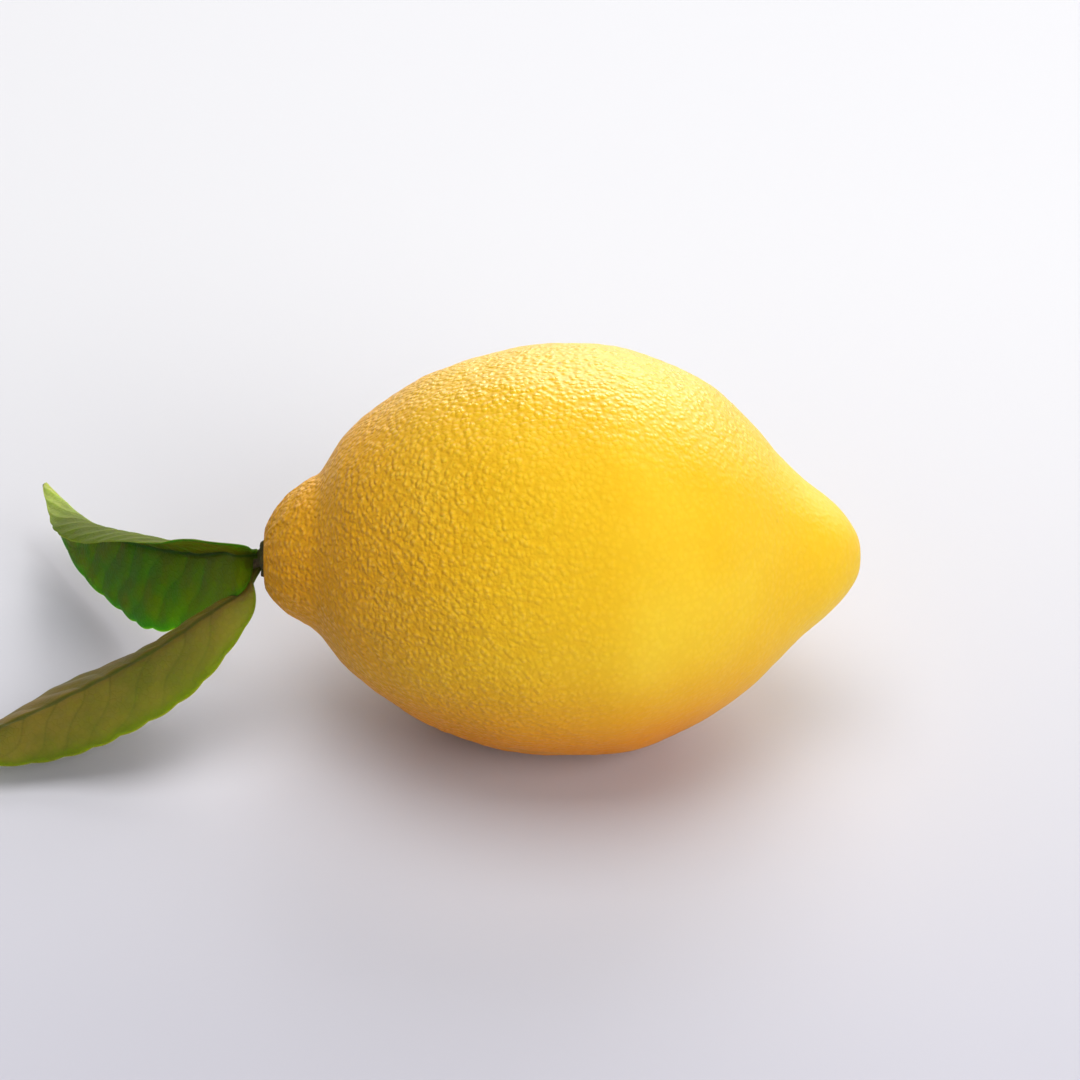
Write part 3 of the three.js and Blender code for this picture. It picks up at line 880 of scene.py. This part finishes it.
class LemonColours(bpy.types.PropertyGroup):
    """Colours of the skin, stem and leaves."""
    skin: colour_property("Skin", "Most of the rind", (0.90, 0.545, 0.014))
    skin_pale: colour_property("Pale skin", "Lighter patches of the rind", (0.93, 0.62, 0.03))
    # Painted shade and warm bounce light on the underside and the neck end
    skin_painted_shade: colour_property("Warm skin", "The underside and the neck", (0.76, 0.215, 0.002))
    # Painted shade between the pebbles
    shaded_hollow: colour_property("Hollows", "Between the pebbles", (0.66, 0.31, 0.004))
    # Painted sheen on the pebbles' tops
    crown_sheen: colour_property("Crowns", "Tops of the pebbles", (1.0, 0.66, 0.12))
    speck: colour_property("Specks", "Tiny dark specks and the scar", (0.22, 0.11, 0.02))
    rub: colour_property("Rubs", "Faint scuffs", (0.50, 0.24, 0.03))
    bark: colour_property("Bark", "The stub's bark", (0.085, 0.060, 0.020))
    bark_dark: colour_property("Dark bark", "Streaks in the bark", (0.030, 0.017, 0.008))
    button: colour_property("Button", "The stem's button", (0.055, 0.060, 0.012))
    wood: colour_property("Wood", "The stub's cut end", (0.52, 0.42, 0.20))
    pith: colour_property("Pith", "The middle of the cut end", (0.30, 0.24, 0.10))
    leaf_dark: colour_property("Dark leaf", "The upper leaf's face", (0.048, 0.085, 0.0005))
    leaf_dark_mottle: colour_property("Dark mottle", "Its patches", (0.108, 0.080, 0.0005))
    leaf_dark_rim: colour_property("Dark rim", "Its margin", (0.010, 0.075, 0.004))
    leaf_olive: colour_property("Olive leaf", "The lower leaf's face", (0.124, 0.088, 0.017))
    leaf_olive_mottle: colour_property("Olive mottle", "Its patches", (0.185, 0.112, 0.024))
    leaf_olive_rim: colour_property("Olive rim", "Its margin", (0.062, 0.072, 0.006))
    vein_dark: colour_property("Dark veins", "Veins of the upper leaf", (0.018, 0.040, 0.003))
    vein_olive: colour_property("Olive veins", "Veins of the lower leaf", (0.060, 0.060, 0.012))
    # Painted shade on the lower faces, away from the tip
    underside_shaded: colour_property("Leaf underside", "The pale lower faces", (0.094, 0.112, 0.018))
    # Painted light on the lower faces by the tip
    underside: colour_property("Underside tip", "The lower faces by the tip", (0.38, 0.46, 0.11))


class LemonStage(bpy.types.PropertyGroup):
    """Floor and light."""
    # Painted light: the near floor darker and the far floor lighter, as the light from behind falls off
    floor: colour_property("Floor", "The plain surface in front", (0.54, 0.535, 0.61))
    floor_far: colour_property("Far floor", "The plain surface behind", (0.76, 0.76, 0.79))
    sky: bpy.props.FloatProperty(name="Sky", description="Strength of the light all round", default=0.23)
    light: bpy.props.FloatProperty(name="Light", description="All lamps' power, as a share", default=1.0)
    light_colour: colour_property("Light colour", "Colour of the lamps", (1.0, 0.99, 0.97))


# Operators

def settle(piece, node):
    """Sets a finished piece to ride on the one body and hides its node's part, for which it stands."""
    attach(piece, "root")
    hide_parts(node)


class LEMON_OT_rind(bpy.types.Operator):
    """Makes the fruit's skin, with its neck, nipple, seat and pebbles"""
    bl_idname = "lemon.rind"
    bl_label = "Rind"

    def execute(self, context):
        scene = context.scene
        rows, columns = ((226, 430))
        grid = rind_points(rows, columns, scene.lemon_sizes)
        material = rind_material(scene.lemon_colours, scene.lemon_sizes)
        settle(closed_surface("lemon_rind", grid, material), "fruit")
        return {"FINISHED"}


class LEMON_OT_stem(bpy.types.Operator):
    """Makes the button and the woody stub"""
    bl_idname = "lemon.stem"
    bl_label = "Stem"

    def execute(self, context):
        scene = context.scene
        rows, columns = 90, 120
        grid, marks = stem_points(rows, columns, scene.lemon_sizes)
        material = stem_material(scene.lemon_colours, scene.lemon_sizes)
        settle(closed_surface("lemon_stem", grid, material, marks), "stem")
        return {"FINISHED"}


class LEMON_OT_leaves(bpy.types.Operator):
    """Makes both leaves with their ribs, veins and stalks"""
    bl_idname = "lemon.leaves"
    bl_label = "Leaves"

    def execute(self, context):
        sizes, colours = context.scene.lemon_sizes, context.scene.lemon_colours
        dark = (colours.leaf_dark, colours.leaf_dark_mottle, colours.leaf_dark_rim, colours.vein_dark)
        olive = (colours.leaf_olive, colours.leaf_olive_mottle, colours.leaf_olive_rim, colours.vein_olive)
        pieces = (
            ("lemon_leaf_upper", UPPER_LEAF, "leaf_upper", "leaf_dark", dark, 0.0),
            ("lemon_leaf_lower", LOWER_LEAF, "leaf_lower", "leaf_olive", olive, 0.12),
        )
        for name, leaf, node, slot, shades, coat in pieces:
            grid, marks, uv = leaf_points(leaf, LEAF_ROWS, LEAF_HALF_COLUMNS, sizes)
            material = leaf_material(slot, shades, coat, colours, sizes)
            settle(closed_surface(name, grid, material, marks, uv), node)
        return {"FINISHED"}


def area_light(name, place, size, power, matt, glossy, colour):
    """A soft rectangular light, turned to face the fruit's middle."""
    data = bpy.data.lights.new(name, "AREA")
    data.shape = "RECTANGLE"
    data.size, data.size_y = size
    data.energy = power
    data.color = colour
    lamp = bpy.data.objects.new(name, data)
    lamp.location = place
    middle = Vector((0, 0, AXIS_HEIGHT * MM))
    lamp.rotation_euler = (middle - Vector(place)).to_track_quat("-Z", "Y").to_euler()
    lamp.visible_camera = False
    lamp.visible_diffuse = matt
    lamp.visible_glossy = glossy
    bpy.context.scene.collection.objects.link(lamp)


class LEMON_OT_stage(bpy.types.Operator):
    """Makes the floor, the soft light and the camera at the photograph's view"""
    bl_idname = "lemon.stage"
    bl_label = "Stage"

    def execute(self, context):
        scene = context.scene
        settings = scene.lemon_stage
        self.make_floor(scene, settings)
        self.make_light(scene, settings)
        self.make_camera(scene)
        scene.view_settings.view_transform = "Standard"
        return {"FINISHED"}

    def make_floor(self, scene, settings):
        paint = Paint("pale_floor")
        # painted light: the floor darker in front and lighter behind
        tint = paint.mix(paint.axes()[1].ramp(*FLOOR_FALLOFF_Y), settings.floor, settings.floor_far)
        grit = paint.bump(paint.noise(FLOOR_GRAIN_SIZE, 2.0), FLOOR_RELIEF)
        roughness = 0.9 + 0.05 * paint.noise(FLOOR_PATCH_SIZE)
        material = paint.finish(tint, roughness, grit, Specular_IOR_Level=0.0)
        mesh = bpy.data.meshes.new("floor")
        corners = [(FLOOR_REACH * x, FLOOR_REACH * y, 0) for x, y in ((-1, -1), (1, -1), (1, 1), (-1, 1))]
        mesh.from_pydata(corners, [], [(0, 1, 2, 3)])
        mesh.materials.append(material)
        floor = bpy.data.objects.new("floor", mesh)
        scene.collection.objects.link(floor)

    def make_light(self, scene, settings):
        world = bpy.data.worlds.new("soft_sky")
        world.use_nodes = True
        sky = world.node_tree.nodes["Background"]
        sky.inputs["Color"].default_value = SKY_COLOUR
        sky.inputs["Strength"].default_value = settings.sky
        scene.world = world
        for name, place, size, power, matt, glossy in LAMPS:
            area_light(name, place, size, power * settings.light, matt, glossy, settings.light_colour)

    def make_camera(self, scene):
        data = bpy.data.cameras.new("camera")
        data.sensor_width = SENSOR
        data.lens = VIEW_LENS
        data.clip_start, data.clip_end = 0.01, 20.0
        camera = bpy.data.objects.new("camera", data)
        ahead = Vector((0, math.cos(VIEW_ELEVATION), -math.sin(VIEW_ELEVATION)))
        right = Vector((1, 0, 0))
        up = right.cross(ahead)
        middle = Vector((0, 0, AXIS_HEIGHT))
        place = middle - VIEW_DISTANCE * ahead - VIEW_OFFSET[0] * right - VIEW_OFFSET[1] * up
        camera.matrix_world = Matrix((right, up, -ahead)).transposed().to_4x4()
        camera.location = place * MM
        scene.collection.objects.link(camera)
        scene.camera = camera


class LEMON_PT_panel(bpy.types.Panel):
    """Lists the pieces and the stage"""
    bl_idname = "LEMON_PT_panel"
    bl_label = "Lemon"
    bl_space_type = "VIEW_3D"
    bl_region_type = "UI"
    bl_category = "Lemon"

    def draw(self, context):
        for step in STEPS:
            self.layout.operator(step.bl_idname)


STEPS = (LEMON_OT_stage, LEMON_OT_rind, LEMON_OT_stem, LEMON_OT_leaves)
GROUPS = {"lemon_sizes": LemonSizes, "lemon_colours": LemonColours, "lemon_stage": LemonStage}


def register():
    for kind in (*GROUPS.values(), *STEPS, LEMON_PT_panel):
        bpy.utils.register_class(kind)
    for name, group in GROUPS.items():
        setattr(bpy.types.Scene, name, bpy.props.PointerProperty(type=group))


def unregister():
    for name in GROUPS:
        delattr(bpy.types.Scene, name)
    for kind in reversed((*GROUPS.values(), *STEPS, LEMON_PT_panel)):
        bpy.utils.unregister_class(kind)


def main():
    register()
    for step in STEPS:
        family, name = step.bl_idname.split(".")
        getattr(getattr(bpy.ops, family), name)()


if __name__ == "__main__":
    main()
